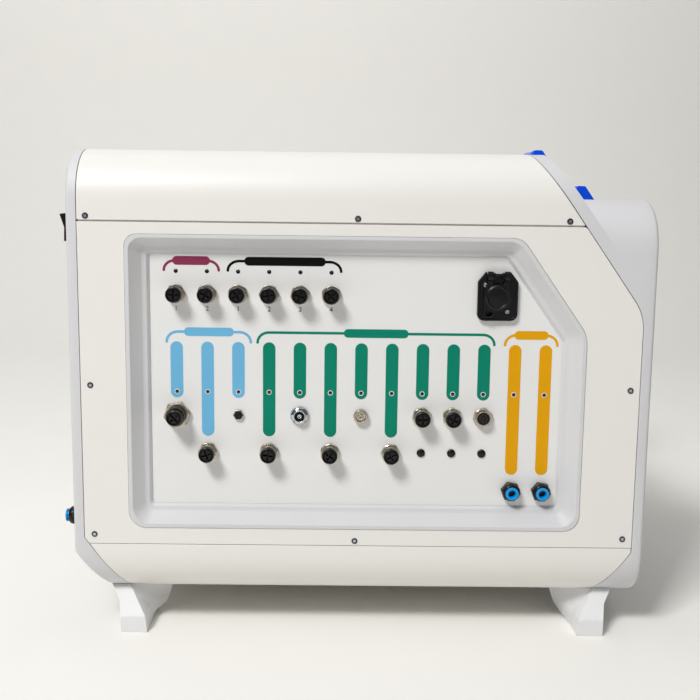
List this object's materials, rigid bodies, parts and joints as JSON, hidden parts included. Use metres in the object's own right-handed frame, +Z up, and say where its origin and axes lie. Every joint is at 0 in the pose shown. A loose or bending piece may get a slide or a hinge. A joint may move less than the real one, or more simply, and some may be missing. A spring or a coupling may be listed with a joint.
{
  "type": "bench bioreactor control station",
  "caption": "Bench control station for a bioreactor: rounded white casing with a recessed bay of sensor sockets and gas ports, a sloping console with pumps, and feet.",
  "frame": {"origin": "on the ground, under the middle of the whole box", "axes": "+Z up, +X towards the sloping console at the front, the connector bay faces -Y"},
  "size_m": [0.4794, 0.4468, 0.4033],
  "materials": {
    "white_paint": "satin white powder coat",
    "plate_paint": "satin white",
    "pale_moulding": "fine grained pale grey",
    "nickel": "nickel plated",
    "chrome": "polished",
    "steel": "machined",
    "black_plastic": "moulded black",
    "ring_blue": "glossy light blue",
    "cover_blue": "glossy blue",
    "switch_red": "glossy red"
  },
  "bodies": {
    "station": {"bay_frame": "pale_moulding", "bottom_cover": "white_paint", "charging_socket": "black_plastic", "coax_socket": "chrome", "connector_plate": "plate_paint", "far_side_panel": "white_paint", "front_far_foot": "pale_moulding", "front_housing": "pale_moulding", "front_near_foot": "pale_moulding", "gas_inlet_port": "black_plastic", "gas_port_1": "black_plastic", "gas_port_2": "black_plastic", "lower_pump_head": "black_plastic", "near_side_panel": "white_paint", "power_switch_frame": "black_plastic", "rear_end_cap": "pale_moulding", "rear_far_foot": "pale_moulding", "rear_near_foot": "pale_moulding", "round_socket": "nickel", "small_jack": "nickel", "socket_input_1": "nickel", "socket_input_2": "nickel", "socket_input_3": "nickel", "socket_input_4": "nickel", "socket_input_5": "nickel", "socket_input_6": "nickel", "socket_large": "nickel", "socket_long_2": "nickel", "socket_long_4": "nickel", "socket_long_6": "nickel", "socket_long_8": "nickel", "socket_open": "nickel", "socket_short_10": "nickel", "socket_short_9": "nickel", "top_cover": "white_paint", "upper_pump_head": "black_plastic"},
    "plug_input_1": {"plug_input_1": "black_plastic"},
    "plug_input_2": {"plug_input_2": "black_plastic"},
    "plug_input_3": {"plug_input_3": "black_plastic"},
    "plug_input_4": {"plug_input_4": "black_plastic"},
    "plug_input_5": {"plug_input_5": "black_plastic"},
    "plug_input_6": {"plug_input_6": "black_plastic"},
    "plug_long_2": {"plug_long_2": "black_plastic"},
    "plug_long_4": {"plug_long_4": "black_plastic"},
    "plug_long_6": {"plug_long_6": "black_plastic"},
    "plug_long_8": {"plug_long_8": "black_plastic"},
    "plug_short_9": {"plug_short_9": "black_plastic"},
    "plug_short_10": {"plug_short_10": "black_plastic"},
    "plug_large": {"plug_large": "black_plastic"},
    "release_ring_1": {"release_ring_1": "ring_blue"},
    "release_ring_2": {"release_ring_2": "ring_blue"},
    "gas_inlet_ring": {"gas_inlet_ring": "ring_blue"},
    "power_rocker": {"power_rocker": "switch_red"},
    "charging_flap": {"charging_flap": "black_plastic"},
    "upper_pump_cover": {"upper_pump_cover": "cover_blue"},
    "upper_pump_rotor": {"upper_pump_rotor": "steel"},
    "lower_pump_cover": {"lower_pump_cover": "cover_blue"},
    "lower_pump_rotor": {"lower_pump_rotor": "steel"}
  },
  "joints": [
    {"name": "plug_input_1_unscrew", "type": "slide", "parent": "station", "child": "plug_input_1", "axis": [0, -1, 0], "range_m": [0, 0.03]},
    {"name": "plug_input_2_unscrew", "type": "slide", "parent": "station", "child": "plug_input_2", "axis": [0, -1, 0], "range_m": [0, 0.03]},
    {"name": "plug_input_3_unscrew", "type": "slide", "parent": "station", "child": "plug_input_3", "axis": [0, -1, 0], "range_m": [0, 0.03]},
    {"name": "plug_input_4_unscrew", "type": "slide", "parent": "station", "child": "plug_input_4", "axis": [0, -1, 0], "range_m": [0, 0.03]},
    {"name": "plug_input_5_unscrew", "type": "slide", "parent": "station", "child": "plug_input_5", "axis": [0, -1, 0], "range_m": [0, 0.03]},
    {"name": "plug_input_6_unscrew", "type": "slide", "parent": "station", "child": "plug_input_6", "axis": [0, -1, 0], "range_m": [0, 0.03]},
    {"name": "plug_long_2_unscrew", "type": "slide", "parent": "station", "child": "plug_long_2", "axis": [0, -1, 0], "range_m": [0, 0.03]},
    {"name": "plug_long_4_unscrew", "type": "slide", "parent": "station", "child": "plug_long_4", "axis": [0, -1, 0], "range_m": [0, 0.03]},
    {"name": "plug_long_6_unscrew", "type": "slide", "parent": "station", "child": "plug_long_6", "axis": [0, -1, 0], "range_m": [0, 0.03]},
    {"name": "plug_long_8_unscrew", "type": "slide", "parent": "station", "child": "plug_long_8", "axis": [0, -1, 0], "range_m": [0, 0.03]},
    {"name": "plug_short_9_unscrew", "type": "slide", "parent": "station", "child": "plug_short_9", "axis": [0, -1, 0], "range_m": [0, 0.03]},
    {"name": "plug_short_10_unscrew", "type": "slide", "parent": "station", "child": "plug_short_10", "axis": [0, -1, 0], "range_m": [0, 0.03]},
    {"name": "plug_large_unscrew", "type": "slide", "parent": "station", "child": "plug_large", "axis": [0, -1, 0], "range_m": [0, 0.03]},
    {"name": "release_ring_1_press", "type": "slide", "parent": "station", "child": "release_ring_1", "axis": [0, 1, 0], "range_m": [0, 0.001], "stiffness_N_per_m": 500, "springref_m": -0.002},
    {"name": "release_ring_2_press", "type": "slide", "parent": "station", "child": "release_ring_2", "axis": [0, 1, 0], "range_m": [0, 0.001], "stiffness_N_per_m": 500, "springref_m": -0.002},
    {"name": "gas_inlet_ring_press", "type": "slide", "parent": "station", "child": "gas_inlet_ring", "axis": [1, 0, 0], "range_m": [0, 0.001], "stiffness_N_per_m": 500, "springref_m": -0.002},
    {"name": "power_rocker_tilt", "type": "hinge", "parent": "station", "child": "power_rocker", "pos_m": [-0.2302, -0.19715, 0.3345], "axis": [0, 1, 0], "range_deg": [0, 16]},
    {"name": "charging_flap_hinge", "type": "hinge", "parent": "station", "child": "charging_flap", "pos_m": [0.1143, -0.21115, 0.3009], "axis": [-1, 0, 0], "range_deg": [0, 110]},
    {"name": "upper_pump_cover_hinge", "type": "hinge", "parent": "station", "child": "upper_pump_cover", "pos_m": [0.15501, -0.11665, 0.39995], "axis": [0, -1, 0], "range_deg": [0, 100]},
    {"name": "upper_pump_rotor_spin", "type": "hinge", "parent": "station", "child": "upper_pump_rotor", "pos_m": [0.16424, -0.11665, 0.37988], "axis": [0.8151, 0, 0.5793], "continuous": true},
    {"name": "lower_pump_cover_hinge", "type": "hinge", "parent": "station", "child": "lower_pump_cover", "pos_m": [0.19336, -0.11665, 0.37015], "axis": [0, -1, 0], "range_deg": [0, 100]},
    {"name": "lower_pump_rotor_spin", "type": "hinge", "parent": "station", "child": "lower_pump_rotor", "pos_m": [0.20259, -0.11665, 0.35009], "axis": [0.8151, 0, 0.5793], "continuous": true}
  ]
}
